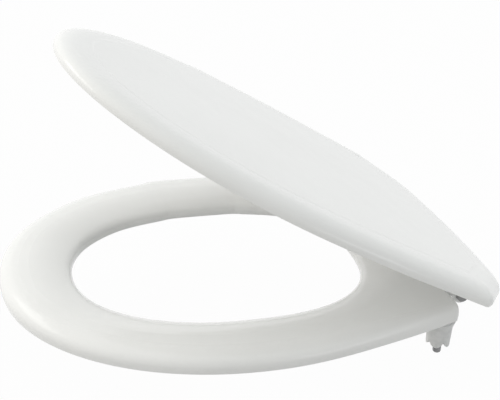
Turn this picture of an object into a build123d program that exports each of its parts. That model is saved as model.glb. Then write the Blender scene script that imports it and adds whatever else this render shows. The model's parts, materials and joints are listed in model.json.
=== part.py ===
from build123d import *
import os
from math import cos, radians, sin

# Toilet seat: a moulded ring and a moulded lid that turn on two bent steel rods, one at each side.
# Each rod's upper leg is the hinge pin, and its lower leg goes down through the pan's fixing hole.
# Frame: +Z up, front towards -Y, +X to the side, millimetres.
# The origin lies on the pan's deck, midway between the two fixing holes.

# Fixings and hinge axis
fixing_spacing = 155.0
pivot_height = 12.0
rod_d = 8.0
rod_bend_radius = 7.0
rod_drop = 69.5
rod_tip_round = 2.5
fixing_x = fixing_spacing / 2

# Running and seating clearances
running_clearance = 0.05
seating_clearance = 0.02
end_float = 0.5

# Foot and gasket under each bend
foot_d = 24.0
gasket_thickness = 1.5
foot_top_chamfer = 1.2
gasket_hole_d = 12.0

# Hinge knuckles and bushes
knuckle_radius = 8.0
ring_knuckle_length = 9.0
lid_knuckle_length = 8.0
bush_wall = 1.5
bush_flange_thickness = 1.0
bush_flange_radius = 7.0
foot_to_knuckle_gap = 1.0
knuckle_root_rise = 3.0

# Rod end caps
cap_radius = 5.0
cap_length = 4.0
cap_cover = 1.2
cap_edge = 0.8

# Conical bush and crown nut on the lower leg
cone_top_d = 29.0
cone_height = 7.0
nut_top_depth = 39.5
nut_top_d = 24.6
nut_base_d = 22.6
nut_height = 19.5
nut_cup_d = 17.0
nut_tooth_count = 5
nut_tooth_radius = 8.2
nut_notch_half_width = 6.4
nut_notch_depth = 7.0
nut_thread_length = 9.5

# Ring outline
ring_half_width = 185.0
ring_front = 405.0
ring_widest = 195.0
ring_back_gap = 17.5
ring_waist_share = 0.85
ring_tail_share = 0.3
ring_waist_half_width = 169.5
ring_waist = 99.0
ring_tail_half_width = 144.0
ring_tail_slope = 0.38
ring_corner_radius = 6.0
smallest_round = 1.0
ring_power = 2.1

# Ring section
ring_under = 8.0
ring_top = 24.4
ring_lip = 4.6
ring_wall = 3.0
ring_shoulder = 18.0
ring_shoulder_height = 10.0
ring_draft = 0.8
ring_slope_run = 38.0
lip_top = 11.0
ring_rib_thickness = 2.4
ring_rib_count = 10
ring_rib_lift = 1.5
ring_boss_lift = 1.0

# Hole through the ring
hole_half_width = 113.6
hole_front = 340.0
hole_back = 67.5
hole_widest = 196.0
hole_front_power = 2.2
hole_back_power = 2.5

# Lid outline, measured closed
lid_half_width = 186.5
lid_front = 404.5
lid_widest = 190.0
lid_waist_half_width = 183.2
lid_waist = 118.0
lid_tail_slope = 0.12
lid_side_corner = (168.5, -14.0)
lid_side_corner_draw = (0.93, 0.55)
lid_side_round = 16.0
lid_back_corner = (112.0, 32.0)
lid_back_corner_draw = (0.41, 0.95)
lid_back_round = 60.0
lid_back = 42.0
lid_power = 2.1

# Lid section, heights above the hinge axis when closed
lid_rim = 15.4
lid_depth = 13.6
lid_crown = 0.35
lid_shoulder = 20.0
lid_shoulder_height = 9.5
lid_draft = 0.8
lid_wall = 3.0
lid_boss_height = 8.0
lid_web_width = 24.0
lid_web_shift = 2.0
lid_open_angle = 29.4
lid_notch_half_width = 17.0

# Buffers
ring_buffer_length = 38.0
ring_buffer_width = 14.0
ring_buffer_edge = 1.5
lid_buffer_radius = 7.0
buffer_stem_radius = 2.6
buffer_stem_length = 6.0
ring_stem_gap = 1.5
lid_stem_gap = 1.2
boss_wall = 2.4
closed_gap = 0.3

front_buffer = (97.0, -337.0)
rear_buffer = (132.0, -103.0)
front_buffer_turn = -42.0
rear_buffer_turn = 72.0
lid_front_buffer = (98.0, -344.0)
lid_rear_buffer = (146.0, -120.0)

OVAL_STATIONS = 6
SAME_PLACE = 0.01
# Share of a wall's height and share of its draft at each outline below a shoulder, then the shoulder's turns
WALL_SHAPE = ((0.0, 1.0), (0.5, 0.2), (1.0, 0.0))
SHOULDER_TURNS = (28, 45, 60, 75, 90)
# Share of the crown and share of the shoulder's run at each outline past the lid's shoulder
CROWN_SHAPE = ((0.57, 1.3), (1.0, 1.6))
# Share of the rise and share of the run at each outline of the slope from the lip up to the ring's top
SLOPE_SHAPE = ((0.0, 0.01), (0.26, 0.09), (0.45, 0.22), (0.62, 0.37), (0.76, 0.53), (0.87, 0.68),
               (0.955, 0.84), (1.0, 1.0), (1.02, 1.16))

# The opened lid's frame: the hinge axis is its X axis, and its Z axis leans back with the lid
lid_frame = Plane(
    origin=(0, 0, pivot_height),
    x_dir=(1, 0, 0),
    z_dir=(0, sin(radians(lid_open_angle)), cos(radians(lid_open_angle))),
)


def oval_quarter(half_width, reach, centre_y, power):
    """Points of one quarter of a soft oval, from its side at centre_y to its tip at centre_y + reach."""
    points = []
    for step in range(OVAL_STATIONS + 1):
        turn = radians(90 * step / OVAL_STATIONS)
        x = half_width * max(cos(turn), 0.0) ** (2 / power)
        y = centre_y + reach * sin(turn) ** (2 / power)
        points.append((x if step < OVAL_STATIONS else 0.0, y))
    return points


def mirrored(points):
    """The whole bow: the quarter's points, then their mirror images back to the other side."""
    return points + [(-x, y) for x, y in reversed(points[:-1])]


def hole_face(plane, outset):
    """The egg-shaped hole, grown outwards by outset."""
    wide = hole_half_width + outset
    front = mirrored(oval_quarter(wide, -(hole_front - hole_widest + outset), -hole_widest, hole_front_power))
    back = mirrored(oval_quarter(wide, hole_widest - hole_back + outset, -hole_widest, hole_back_power))
    with BuildSketch(plane) as face:
        with BuildLine():
            Spline(*front, tangents=[(0, -1), (0, 1)])
            Spline(*back, tangents=[(0, 1), (0, -1)])
        make_face()
    return face.sketch


def ring_face(plane, inset, grow):
    """The ring's outer outline, drawn in by inset. Past grow, its tail is drawn in less than its front."""
    front = mirrored(
        oval_quarter(ring_half_width - inset, -(ring_front - ring_widest - inset), -ring_widest, ring_power)
    )
    waist_x = ring_waist_half_width - grow - (inset - grow) * ring_waist_share
    tail_inset = grow + (inset - grow) * ring_tail_share
    tail_x = ring_tail_half_width - tail_inset
    back_y = -ring_back_gap - tail_inset
    with BuildSketch(plane) as face:
        with BuildLine():
            Spline(*front, tangents=[(0, -1), (0, 1)])
            for side in (-1, 1):
                Spline(
                    (side * front[0][0], front[0][1]),
                    (side * waist_x, -ring_waist),
                    (side * tail_x, back_y),
                    tangents=[(0, 1), (-side * ring_tail_slope, 1)],
                )
            Line((-tail_x, back_y), (tail_x, back_y))
        make_face()
        corners = face.vertices().group_by(Axis.Y)[-1]
        fillet(corners, max(ring_corner_radius - tail_inset, smallest_round))
    return face.sketch


def lid_face(plane, inset):
    """The lid's outline, drawn in by inset, about the hinge axis."""
    front = mirrored(
        oval_quarter(lid_half_width - inset, -(lid_front - lid_widest - inset), -lid_widest, lid_power)
    )
    side_x, side_y = [at - inset * draw for at, draw in zip(lid_side_corner, lid_side_corner_draw)]
    back_x, back_y = [at - inset * draw for at, draw in zip(lid_back_corner, lid_back_corner_draw)]
    with BuildSketch(plane) as face:
        with BuildLine():
            Spline(*front, tangents=[(0, -1), (0, 1)])
            for side in (-1, 1):
                Spline(
                    (side * front[0][0], front[0][1]),
                    (side * (lid_waist_half_width - inset), -lid_waist),
                    (side * side_x, side_y),
                    tangents=[(0, 1), (-side * lid_tail_slope, 1)],
                )
                Line((side * side_x, side_y), (side * back_x, back_y))
            ThreePointArc((back_x, back_y), (0, lid_back - inset), (-back_x, back_y))
        make_face()
        fillet(
            [v for v in face.vertices() if abs(v.Y - side_y) < SAME_PLACE],
            max(lid_side_round - inset, smallest_round),
        )
        fillet([v for v in face.vertices() if abs(v.Y - back_y) < SAME_PLACE], lid_back_round - inset)
    return face.sketch


def shoulder_profile(height, run, rise, draft):
    """Height and inset of each outline up a drafted wall and over its soft quarter-ellipse shoulder."""
    wall = height - rise
    profile = [(wall * level, draft * share) for level, share in WALL_SHAPE]
    for turn in SHOULDER_TURNS:
        profile.append((wall + rise * sin(radians(turn)), run * (1 - cos(radians(turn)))))
    return profile


def ring_shell(grow, start):
    """The ring's outer form, drawn in and lowered by grow, from the height start upwards."""
    profile = shoulder_profile(ring_top - ring_under, ring_shoulder, ring_shoulder_height, ring_draft)
    sections = [(ring_under + z - grow, inset + grow) for z, inset in profile]
    sections[0] = (start, sections[0][1])
    return [ring_face(Plane.XY.offset(z), inset, grow) for z, inset in sections]


def ring_slope(grow, start):
    """The hole with the slope that leads into it, grown and lowered by grow, from the height start upwards."""
    drop = ring_top - lip_top
    sections = [(start, grow), ((start + lip_top) / 2, grow)]
    sections += [
        (lip_top + drop * rise - grow, ring_slope_run * run + grow) for rise, run in SLOPE_SHAPE
    ]
    return [hole_face(Plane.XY.offset(z), outset) for z, outset in sections]


def lid_shell(grow, start):
    """The lid's outer form in its own opened frame, drawn in and lowered by grow, from the height start."""
    profile = shoulder_profile(lid_depth, lid_shoulder, lid_shoulder_height, lid_draft)
    for rise, run in CROWN_SHAPE:
        profile.append((lid_depth + lid_crown * rise, lid_shoulder * run))
    sections = [(lid_rim + z - grow, inset + grow) for z, inset in profile]
    sections[0] = (start, sections[0][1])
    return [lid_face(lid_frame.offset(z), inset) for z, inset in sections]


os.makedirs("parts", exist_ok=True)


def save(piece, name):
    piece.part.label = name
    export_step(piece.part, "parts/" + name + ".step")


# Places along the hinge axis, from the fixing outwards, and the top of the ring knuckles' roots
ring_flange_x = fixing_x + foot_d / 2 + foot_to_knuckle_gap
ring_knuckle_x = ring_flange_x + bush_flange_thickness
lid_flange_x = ring_knuckle_x + ring_knuckle_length + end_float
lid_knuckle_x = lid_flange_x + bush_flange_thickness
cap_x = lid_knuckle_x + lid_knuckle_length + end_float
rod_end_x = cap_x + cap_length - cap_cover
rod_radius = rod_d / 2
bush_radius = rod_radius + running_clearance + bush_wall
ring_root_top = ring_top - ring_shoulder_height + knuckle_root_rise
SIDES = (("left", -1), ("right", 1))


# Seat ring: a shell open underneath, with ribs, buffer bosses and two knuckles on its back wall
ring_boss_base = ring_under + ring_boss_lift
ring_rib_base = ring_under + ring_rib_lift
ring_spots = {
    f"{row}_{side_name}": (side * x, y, side * turn)
    for row, (x, y), turn in (
        ("front", front_buffer, front_buffer_turn),
        ("rear", rear_buffer, rear_buffer_turn),
    )
    for side_name, side in SIDES
}
with BuildPart() as ring_hollow:
    loft(ring_shell(ring_wall, ring_under - ring_wall))
    loft(ring_slope(ring_wall, ring_under - 2 * ring_wall), mode=Mode.SUBTRACT)
    with Locations((0, -hole_widest, ring_rib_base)):
        with PolarLocations(0, ring_rib_count, start_angle=180 / ring_rib_count):
            Box(
                ring_front,
                ring_rib_thickness,
                ring_top,
                align=(Align.MIN, Align.CENTER, Align.MIN),
                mode=Mode.SUBTRACT,
            )
    with Locations([(x, y, ring_boss_base) for x, y, turn in ring_spots.values()]):
        Cylinder(
            buffer_stem_radius + boss_wall,
            ring_top,
            align=(Align.CENTER, Align.CENTER, Align.MIN),
            mode=Mode.SUBTRACT,
        )

with BuildPart() as seat_ring:
    loft(ring_shell(0, ring_under))
    extrude(hole_face(Plane.XY.offset(ring_lip), ring_wall), amount=lip_top - ring_lip)
    for side_name, side in SIDES:
        knuckle_start = ring_knuckle_x if side > 0 else -ring_knuckle_x - ring_knuckle_length
        with BuildSketch(Plane.YZ.offset(knuckle_start)):
            with Locations((0, pivot_height)):
                Circle(knuckle_radius)
            with Locations((-ring_back_gap - ring_wall, (ring_under + ring_root_top) / 2)):
                Rectangle(2 * ring_wall, ring_root_top - ring_under)
            make_hull()
        extrude(amount=ring_knuckle_length)
    loft(ring_slope(0, ring_lip - ring_wall), mode=Mode.SUBTRACT)
    add(ring_hollow.part, clean=False, mode=Mode.SUBTRACT)
    with Locations(Location((0, 0, pivot_height), (0, 90, 0))):
        Cylinder(bush_radius + seating_clearance, 2 * lid_flange_x, mode=Mode.SUBTRACT)
    with Locations([(x, y, ring_boss_base) for x, y, turn in ring_spots.values()]):
        Cylinder(
            buffer_stem_radius + seating_clearance,
            buffer_stem_length,
            align=(Align.CENTER, Align.CENTER, Align.MIN),
            mode=Mode.SUBTRACT,
        )
save(seat_ring, "seat_ring")


# Ring buffers: long rubber pads under the ring, each with a round stem pressed into its boss
for spot, (x, y, turn) in ring_spots.items():
    with BuildPart() as ring_buffer:
        with BuildSketch():
            with Locations(Location((x, y, 0), (0, 0, turn))):
                SlotOverall(ring_buffer_length, ring_buffer_width)
        extrude(amount=ring_boss_base)
        fillet(ring_buffer.faces().sort_by(Axis.Z)[0].edges(), ring_buffer_edge)
        with BuildSketch(Plane((x, y, ring_boss_base))):
            Circle(buffer_stem_radius)
        extrude(amount=buffer_stem_length - ring_stem_gap)
    save(ring_buffer, "ring_buffer_" + spot)


# Seat lid: a shallow shell in the opened frame, with buffer bosses and two knuckles
skin_under = lid_rim + lid_depth - lid_wall
lid_boss_base = skin_under - lid_boss_height
lid_spots = {
    f"{row}_{side_name}": (side * x, y)
    for row, (x, y) in (("front", lid_front_buffer), ("rear", lid_rear_buffer))
    for side_name, side in SIDES
}
with BuildPart() as lid_hollow:
    loft(lid_shell(lid_wall, lid_rim - lid_wall))
    with BuildSketch(lid_frame.offset(lid_boss_base)):
        with Locations(list(lid_spots.values())):
            Circle(buffer_stem_radius + boss_wall)
    extrude(amount=lid_wall + lid_boss_height, mode=Mode.SUBTRACT)

with BuildPart() as seat_lid:
    loft(lid_shell(0, lid_rim))
    add(lid_hollow.part, clean=False, mode=Mode.SUBTRACT)
    for side_name, side in SIDES:
        knuckle_start = lid_knuckle_x if side > 0 else -lid_knuckle_x - lid_knuckle_length
        cheek = Plane(origin=(knuckle_start, 0, pivot_height), x_dir=lid_frame.y_dir, z_dir=(1, 0, 0))
        with BuildSketch(cheek):
            Circle(knuckle_radius)
            with Locations((lid_web_shift, skin_under)):
                Rectangle(lid_web_width, lid_wall)
            make_hull()
        extrude(amount=lid_knuckle_length)
        with BuildSketch(lid_frame.offset(lid_rim - lid_wall)):
            with Locations((side * fixing_x, lid_back)):
                Rectangle(2 * lid_notch_half_width, 2 * lid_shoulder)
        extrude(amount=skin_under - lid_rim + lid_wall, mode=Mode.SUBTRACT)
    with Locations(Location((0, 0, pivot_height), (0, 90, 0))):
        Cylinder(bush_radius + seating_clearance, 2 * cap_x, mode=Mode.SUBTRACT)
    with BuildSketch(lid_frame.offset(lid_boss_base)):
        with Locations(list(lid_spots.values())):
            Circle(buffer_stem_radius + seating_clearance)
    extrude(amount=buffer_stem_length, mode=Mode.SUBTRACT)
save(seat_lid, "seat_lid")


# Lid buffers: round rubber heads that meet the ring's top when the lid is closed
lid_buffer_base = ring_top + closed_gap - pivot_height
for spot, (x, y) in lid_spots.items():
    with BuildPart() as lid_buffer:
        with BuildSketch(lid_frame.offset(lid_buffer_base)):
            with Locations((x, y)):
                Circle(lid_buffer_radius)
        extrude(amount=lid_boss_base - lid_buffer_base)
        with BuildSketch(lid_frame.offset(lid_boss_base)):
            with Locations((x, y)):
                Circle(buffer_stem_radius)
        extrude(amount=buffer_stem_length - lid_stem_gap)
    save(lid_buffer, "lid_buffer_" + spot)


for side_name, side in SIDES:
    # Hinge rod: the upper leg is the pin, the bend stands on the foot and the lower leg is the stud
    with BuildPart() as hinge_rod:
        with BuildLine(Plane.XZ) as rod_line:
            drop = Line((side * fixing_x, -rod_drop), (side * fixing_x, pivot_height - rod_bend_radius))
            bend = RadiusArc(
                drop @ 1,
                (side * (fixing_x + rod_bend_radius), pivot_height),
                side * rod_bend_radius,
            )
            Line(bend @ 1, (side * rod_end_x, pivot_height))
        with BuildSketch(Plane(drop @ 0, z_dir=drop % 0)):
            Circle(rod_radius)
        sweep()
        fillet(hinge_rod.edges().sort_by(Axis.Z)[0], rod_tip_round)
    save(hinge_rod, "hinge_rod_" + side_name)

    # Rod end cap: a dark push-on cap that keeps the knuckles on the pin
    with BuildPart() as rod_cap:
        with BuildSketch(Plane.YZ.offset(side * cap_x)):
            with Locations((0, pivot_height)):
                Circle(cap_radius)
        extrude(amount=side * cap_length)
        with BuildSketch(Plane.YZ.offset(side * cap_x)):
            with Locations((0, pivot_height)):
                Circle(rod_radius + seating_clearance)
        extrude(amount=side * (cap_length - cap_cover), mode=Mode.SUBTRACT)
        fillet(rod_cap.faces().sort_by(Axis.X)[-1 if side > 0 else 0].edges(), cap_edge)
    save(rod_cap, "rod_cap_" + side_name)

    # Flanged bushes in the knuckles of the ring and the lid
    for owner, flange_x, sleeve_length in (
        ("ring", ring_flange_x, ring_knuckle_length),
        ("lid", lid_flange_x, lid_knuckle_length),
    ):
        with BuildPart() as hinge_bush:
            with BuildSketch(Plane.YZ.offset(side * flange_x)):
                with Locations((0, pivot_height)):
                    Circle(bush_flange_radius)
            extrude(amount=side * bush_flange_thickness)
            with BuildSketch(Plane.YZ.offset(side * flange_x)):
                with Locations((0, pivot_height)):
                    Circle(bush_radius)
            extrude(amount=side * (bush_flange_thickness + sleeve_length))
            with BuildSketch(Plane.YZ.offset(side * flange_x)):
                with Locations((0, pivot_height)):
                    Circle(rod_radius + running_clearance)
            extrude(amount=side * (bush_flange_thickness + sleeve_length), mode=Mode.SUBTRACT)
        save(hinge_bush, f"{owner}_hinge_bush_{side_name}")

    # Foot under the bend, on its rubber gasket
    foot_height = pivot_height - rod_bend_radius - gasket_thickness
    with BuildPart(Plane((side * fixing_x, 0, gasket_thickness))) as hinge_foot:
        Cylinder(foot_d / 2, foot_height, align=(Align.CENTER, Align.CENTER, Align.MIN))
        chamfer(hinge_foot.faces().sort_by(Axis.Z)[-1].edges(), foot_top_chamfer)
        Cylinder(
            rod_radius + running_clearance,
            foot_height,
            align=(Align.CENTER, Align.CENTER, Align.MIN),
            mode=Mode.SUBTRACT,
        )
    save(hinge_foot, "hinge_foot_" + side_name)

    with BuildPart() as foot_gasket:
        with BuildSketch():
            with Locations((side * fixing_x, 0)):
                Circle(foot_d / 2)
                Circle(gasket_hole_d / 2, mode=Mode.SUBTRACT)
        extrude(amount=gasket_thickness)
    save(foot_gasket, "foot_gasket_" + side_name)

    # Conical bush, its wide face up against the underside of the pan
    with BuildPart(Plane((side * fixing_x, 0, -nut_top_depth))) as cone_bush:
        Cone(
            nut_top_d / 2,
            cone_top_d / 2,
            cone_height,
            align=(Align.CENTER, Align.CENTER, Align.MIN),
        )
        Cylinder(
            rod_radius + running_clearance,
            cone_height,
            align=(Align.CENTER, Align.CENTER, Align.MIN),
            mode=Mode.SUBTRACT,
        )
    save(cone_bush, "cone_bush_" + side_name)

    # Crown nut: a tapered cup that ends below in a ring of rounded teeth for the fingers
    nut_base = Plane((side * fixing_x, 0, -nut_top_depth - nut_height))
    with BuildPart(nut_base) as crown_nut:
        Cone(
            nut_base_d / 2,
            nut_top_d / 2,
            nut_height,
            align=(Align.CENTER, Align.CENTER, Align.MIN),
        )
        for bore_radius, bore_length in (
            (rod_radius + running_clearance, nut_height),
            (nut_cup_d / 2, nut_height - nut_thread_length),
        ):
            Cylinder(
                bore_radius,
                bore_length,
                align=(Align.CENTER, Align.CENTER, Align.MIN),
                mode=Mode.SUBTRACT,
            )
        for notch in range(nut_tooth_count):
            turn = radians(360 * notch / nut_tooth_count)
            outwards = Vector(side * cos(turn), sin(turn), 0)
            with BuildSketch(Plane(nut_base.origin, x_dir=outwards.rotate(Axis.Z, 90), z_dir=outwards)):
                with BuildLine():
                    RadiusArc((nut_notch_half_width, 0), (0, nut_notch_depth), nut_tooth_radius)
                    RadiusArc((0, nut_notch_depth), (-nut_notch_half_width, 0), nut_tooth_radius)
                    Line((-nut_notch_half_width, 0), (nut_notch_half_width, 0))
                make_face()
            extrude(amount=nut_top_d, mode=Mode.SUBTRACT)
    save(crown_nut, "crown_nut_" + side_name)
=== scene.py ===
import json
import math

import bpy
from mathutils import Matrix, Vector


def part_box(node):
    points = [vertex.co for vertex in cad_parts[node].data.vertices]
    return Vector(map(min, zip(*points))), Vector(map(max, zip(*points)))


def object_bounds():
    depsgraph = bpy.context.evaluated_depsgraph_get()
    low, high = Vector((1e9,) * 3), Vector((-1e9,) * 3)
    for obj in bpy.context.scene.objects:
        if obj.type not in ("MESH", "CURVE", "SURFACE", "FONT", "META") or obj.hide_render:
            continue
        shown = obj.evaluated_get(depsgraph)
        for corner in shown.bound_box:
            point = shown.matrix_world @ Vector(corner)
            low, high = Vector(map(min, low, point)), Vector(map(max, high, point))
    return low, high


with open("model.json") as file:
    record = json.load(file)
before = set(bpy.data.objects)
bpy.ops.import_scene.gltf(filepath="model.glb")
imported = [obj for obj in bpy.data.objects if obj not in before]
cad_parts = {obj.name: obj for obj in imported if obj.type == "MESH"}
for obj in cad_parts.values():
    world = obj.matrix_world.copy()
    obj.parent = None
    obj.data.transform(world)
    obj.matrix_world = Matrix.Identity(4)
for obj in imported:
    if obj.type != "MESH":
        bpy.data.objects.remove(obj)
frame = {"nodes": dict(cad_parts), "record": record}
cad_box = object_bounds()
scene = bpy.context.scene

# Camera, from the fit of the seat's own outlines to the photo
CAMERA_AZIMUTH = math.radians(75.46)
CAMERA_ELEVATION = math.radians(24.0)
CAMERA_ROLL = math.radians(1.62)
CAMERA_DISTANCE = 0.862
CAMERA_LENS = 65.9
CAMERA_SHIFT = (-0.0004, -0.003)
CAMERA_TARGET = Vector((0.0, -0.1713, 0.0734))

# The room's light: its level, how it grows along each axis, its tints in front and behind, and
# how far towards either of them they still blend
ROOM_LEVEL = 0.605
ROOM_SLOPE = (-0.34, -0.5, 0.55)
ROOM_FRONT = (1.0, 0.98, 0.94, 1.0)
ROOM_BACK = (0.94, 0.985, 1.0, 1.0)
ROOM_BLEND = 0.8
WHITE = (1.0, 1.0, 1.0, 1.0)

# Soft lamps: the place, the point that each faces, the width and height, the watts and the tint
LAMPS = {
    "key": ((-0.6, -1.25, 0.95), (0.0, -0.3, 0.0), (1.0, 0.4), 1.7, (1.0, 0.99, 0.97)),
    "side_light": ((0.75, 0.35, 0.1), (0.0, -0.05, 0.0), (0.5, 0.25), 0.45, (1.0, 1.0, 1.0)),
}

# Floor: its size, its gap below the studs, its tone, and the share of plain white that the eye sees
FLOOR_SIZE = 12.0
FLOOR_GAP = 0.0005
FLOOR_TONE = (0.52, 0.52, 0.52, 1.0)
FLOOR_GLOW = 0.975

# Tints of the finishes, from darker to lighter, and of the specks and the dust on them
SEAT_TINTS = ((0.86, 0.865, 0.855, 1.0), (0.885, 0.89, 0.88, 1.0))
SEAT_SPECK = (0.74, 0.74, 0.72, 1.0)
GREY_TINTS = ((0.83, 0.84, 0.835, 1.0), (0.9, 0.905, 0.9, 1.0))
STEEL_TINTS = ((0.2, 0.2, 0.203, 1.0), (0.32, 0.32, 0.325, 1.0))
RUBBER_TINTS = ((0.50, 0.50, 0.49, 1.0), (0.60, 0.60, 0.59, 1.0))
RUBBER_DUST = (0.68, 0.67, 0.65, 1.0)
CAP_TINTS = ((0.27, 0.27, 0.275, 1.0), (0.37, 0.37, 0.376, 1.0))

# Hinge rods: the studs' axes, the thread on their lower legs, the turns added to keep its count
# above zero, and the depth of the lines left by drawing
STUD_X = sum(corner.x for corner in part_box("foot_gasket_right")) / 2
THREAD_TOP = -0.0235
THREAD_PITCH = 0.00125
THREAD_DEPTH = 0.0004
THREAD_SPARE_TURNS = 100.0
DRAWN_DEPTH = 0.00001


class Value:
    """A socket of a node tree. Sums and products of values add the Math nodes that work them out."""

    def __init__(self, tree, socket):
        self.tree = tree
        self.socket = socket

    def __add__(self, other):
        return math_node(self.tree, "ADD", self, other)

    __radd__ = __add__

    def __sub__(self, other):
        return math_node(self.tree, "SUBTRACT", self, other)

    def __rsub__(self, other):
        return math_node(self.tree, "SUBTRACT", other, self)

    def __mul__(self, other):
        return math_node(self.tree, "MULTIPLY", self, other)

    __rmul__ = __mul__

    def __truediv__(self, other):
        return math_node(self.tree, "DIVIDE", self, other)


def fill(tree, socket, value):
    if isinstance(value, Value):
        tree.links.new(value.socket, socket)
    else:
        socket.default_value = value


def node(tree, kind, output=0, settings=None, sockets=None):
    """Adds a node, with its settings first and then the values or links of its sockets."""
    made = tree.nodes.new("ShaderNode" + kind)
    for name, setting in (settings or {}).items():
        setattr(made, name, setting)
    for name, value in (sockets or {}).items():
        fill(tree, made.inputs[name], value)
    return Value(tree, made.outputs[output])


def math_node(tree, operation, first, second=0.0):
    return node(tree, "Math", settings={"operation": operation}, sockets={0: first, 1: second})


def place(tree):
    """The point on the piece, in metres."""
    return node(tree, "TexCoord", "Object")


def stretched(tree, stretch):
    """The point on the piece, with each axis multiplied, so a pattern runs along the others."""
    return node(
        tree,
        "VectorMath",
        settings={"operation": "MULTIPLY"},
        sockets={0: place(tree), 1: stretch},
    )


def clouds(tree, scale, detail=2.0, at=None):
    return node(
        tree,
        "TexNoise",
        "Fac",
        sockets={"Vector": at or place(tree), "Scale": scale, "Detail": detail},
    )


def step(tree, value, low, high):
    """0 below low, 1 above high and smooth between them."""
    return node(
        tree,
        "MapRange",
        settings={"interpolation_type": "SMOOTHSTEP"},
        sockets={"Value": value, "From Min": low, "From Max": high},
    )


def blend(tree, factor, first, second):
    return node(
        tree,
        "Mix",
        "Result",
        settings={"data_type": "RGBA"},
        sockets={"Factor": factor, "A": first, "B": second},
    )


def relief(tree, height, depth, under=None):
    """A bump of that depth in metres, on top of the bump under it."""
    sockets = {"Height": height, "Distance": depth}
    if under is not None:
        sockets["Normal"] = under
    return node(tree, "Bump", sockets=sockets)


def grain(scale, depth):
    """Even bumps of that depth all over a piece."""
    return lambda tree: relief(tree, clouds(tree, scale), depth)


def uneven(least, swing, scale, detail):
    """A roughness that grows from the least by up to the swing, in clouds."""
    return lambda tree: least + clouds(tree, scale, detail) * swing


def finish(name, **sockets):
    """A new material whose shader takes these sockets, each named in lower case with underscores."""
    material = bpy.data.materials.new(name)
    material.use_nodes = True
    tree = material.node_tree
    shader = tree.nodes["Principled BSDF"]
    for socket, value in sockets.items():
        made = value(tree) if callable(value) else value
        fill(tree, shader.inputs[socket.replace("_", " ").title()], made)
    return material


def seat_white():
    """Pressed white plastic: a soft gloss, a trace of orange peel and faint wipe marks."""

    def tone(tree):
        cloud = step(tree, clouds(tree, 9.0, 3.0), 0.3, 0.7)
        speck = step(tree, clouds(tree, 1100.0, 1.0), 0.68, 0.76)
        return blend(tree, speck * 0.1, blend(tree, cloud, *SEAT_TINTS), SEAT_SPECK)

    def wiped(tree):
        marks = clouds(tree, 30.0, 4.0, stretched(tree, (1.0, 2.0, 1.0)))
        return 0.24 + step(tree, marks, 0.3, 0.8) * 0.03

    return finish(
        "seat_white",
        base_color=tone,
        roughness=wiped,
        normal=grain(300.0, 0.000008),
        coat_weight=0.5,
        coat_roughness=0.1,
    )


def hinge_grey():
    """Pale grey moulded plastic with a fine eroded texture, for feet, bushes, cones and nuts."""

    def tone(tree):
        return blend(tree, step(tree, clouds(tree, 140.0, 3.0), 0.35, 0.65), *GREY_TINTS)

    return finish(
        "hinge_grey",
        base_color=tone,
        roughness=uneven(0.36, 0.16, 90.0, 3.0),
        normal=grain(3200.0, 0.00003),
    )


def rod_steel():
    """Drawn steel: fine lines in the surface, and a rolled thread round each lower leg."""

    def drawn(tree):
        return clouds(tree, 90.0, 3.0, stretched(tree, (6.0, 30.0, 3.0)))

    def tone(tree):
        return blend(tree, step(tree, drawn(tree), 0.35, 0.65), *STEEL_TINTS)

    def threaded(tree):
        x, y, z = [node(tree, "SeparateXYZ", axis, sockets={0: place(tree)}) for axis in "XYZ"]
        across = x - math_node(tree, "SIGN", x) * STUD_X
        turn = math_node(tree, "ARCTAN2", y, across) / (2 * math.pi)
        turns = z / THREAD_PITCH + turn + THREAD_SPARE_TURNS
        ridge = math_node(tree, "PINGPONG", turns, 0.5) * 2.0
        below = 1.0 - step(tree, z, THREAD_TOP - THREAD_PITCH, THREAD_TOP)
        lines = relief(tree, drawn(tree), DRAWN_DEPTH)
        return relief(tree, ridge * below, THREAD_DEPTH, lines)

    return finish(
        "rod_steel",
        base_color=tone,
        roughness=lambda tree: 0.26 + drawn(tree) * 0.18,
        normal=threaded,
        metallic=1.0,
    )


def buffer_rubber():
    """Pale rubber with a dull, faintly dusty skin."""

    def tone(tree):
        body = blend(tree, clouds(tree, 220.0, 4.0), *RUBBER_TINTS)
        dust = step(tree, clouds(tree, 1400.0), 0.55, 0.7)
        return blend(tree, dust * 0.4, body, RUBBER_DUST)

    return finish(
        "buffer_rubber",
        base_color=tone,
        roughness=uneven(0.62, 0.2, 700.0, 2.0),
        normal=lambda tree: relief(tree, clouds(tree, 220.0, 4.0), 0.00005),
    )


def cap_dark():
    """Dark moulded cap with a satin, faintly mottled face."""
    return finish(
        "cap_dark",
        base_color=lambda tree: blend(tree, clouds(tree, 260.0, 3.0), *CAP_TINTS),
        roughness=uneven(0.35, 0.2, 260.0, 3.0),
        normal=grain(2400.0, 0.00003),
    )


def paint():
    """Gives each CAD node the finish of its material slot."""
    makers = (seat_white, hinge_grey, rod_steel, buffer_rubber, cap_dark)
    finishes = {maker.__name__: maker() for maker in makers}
    for part in frame["record"]["subparts"]:
        mesh = frame["nodes"][part["node"]].data
        mesh.materials.clear()
        mesh.materials.append(finishes[part["material_slot"]])


def seen_directly(tree):
    """1 where the eye meets a surface, also in a mirror or through glass, and 0 for its light."""
    camera_ray = node(tree, "LightPath", "Is Camera Ray")
    glossy_ray = node(tree, "LightPath", "Is Glossy Ray")
    clear_ray = node(tree, "LightPath", "Is Transmission Ray")
    return camera_ray + glossy_ray + clear_ray


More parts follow.
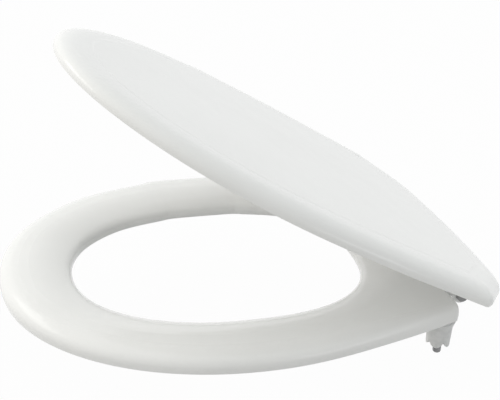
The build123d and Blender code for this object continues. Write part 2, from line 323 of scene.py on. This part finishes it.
def surroundings():
    """White to the eye, and for light a soft room, brighter above, in front and on the left."""
    world = bpy.data.worlds.new("studio")
    scene.world = world
    world.use_nodes = True
    tree = world.node_tree
    towards = node(tree, "TexCoord", "Generated")
    slope = node(
        tree,
        "VectorMath",
        "Value",
        settings={"operation": "DOT_PRODUCT"},
        sockets={0: towards, 1: ROOM_SLOPE},
    )
    strength = math_node(tree, "MAXIMUM", slope + ROOM_LEVEL)
    depth = node(tree, "SeparateXYZ", "Y", sockets={0: towards})
    tint = blend(tree, step(tree, depth, -ROOM_BLEND, ROOM_BLEND), ROOM_FRONT, ROOM_BACK)
    room = node(tree, "Background", sockets={"Color": tint, "Strength": strength})
    backdrop = node(tree, "Background", sockets={"Color": WHITE})
    shown = node(tree, "MixShader", sockets={0: seen_directly(tree), 1: room, 2: backdrop})
    tree.links.new(shown.socket, tree.nodes["World Output"].inputs["Surface"])


def floor():
    """A plain pale floor just under the studs' ends, that keeps a faint shadow."""
    bpy.ops.object.select_all(action="DESELECT")
    spot = (0, CAMERA_TARGET.y, cad_box[0].z - FLOOR_GAP)
    bpy.ops.mesh.primitive_plane_add(size=FLOOR_SIZE, location=spot)
    plane = bpy.context.object
    plane.name = "floor"
    material = finish("floor_white", base_color=FLOOR_TONE, roughness=0.9)
    tree = material.node_tree
    glow = node(tree, "Emission", sockets={"Color": WHITE})
    painted = Value(tree, tree.nodes["Principled BSDF"].outputs["BSDF"])
    share = seen_directly(tree) * FLOOR_GLOW
    shown = node(tree, "MixShader", sockets={0: share, 1: painted, 2: glow})
    tree.links.new(shown.socket, tree.nodes["Material Output"].inputs["Surface"])
    plane.data.materials.append(material)


def softbox(name, spot, aim, size, power, tint):
    """A rectangular lamp at the spot, that faces the aim."""
    bpy.ops.object.light_add(type="AREA", location=spot)
    lamp = bpy.context.object
    lamp.name = name
    lamp.data.shape = "RECTANGLE"
    lamp.data.size, lamp.data.size_y = size
    lamp.data.energy = power
    lamp.data.color = tint
    lamp.rotation_euler = (Vector(aim) - Vector(spot)).to_track_quat("-Z", "Y").to_euler()


def camera():
    """The photo's viewpoint, turned about its own axis by the roll."""
    back = Vector(
        (
            math.sin(CAMERA_AZIMUTH) * math.cos(CAMERA_ELEVATION),
            -math.cos(CAMERA_AZIMUTH) * math.cos(CAMERA_ELEVATION),
            math.sin(CAMERA_ELEVATION),
        )
    )
    level = Vector((math.cos(CAMERA_AZIMUTH), math.sin(CAMERA_AZIMUTH), 0.0))
    upright = back.cross(level)
    right = level * math.cos(CAMERA_ROLL) + upright * math.sin(CAMERA_ROLL)
    up = upright * math.cos(CAMERA_ROLL) - level * math.sin(CAMERA_ROLL)
    bpy.ops.object.camera_add()
    eye = bpy.context.object
    eye.name = "camera"
    eye.matrix_world = (
        Matrix.Translation(CAMERA_TARGET + back * CAMERA_DISTANCE)
        @ Matrix((right, up, back)).transposed().to_4x4()
    )
    eye.data.lens = CAMERA_LENS
    eye.data.shift_x, eye.data.shift_y = CAMERA_SHIFT
    scene.camera = eye


paint()
surroundings()
floor()
for lamp_name, settings in LAMPS.items():
    softbox(lamp_name, *settings)
camera()
scene.view_settings.view_transform = "Standard"
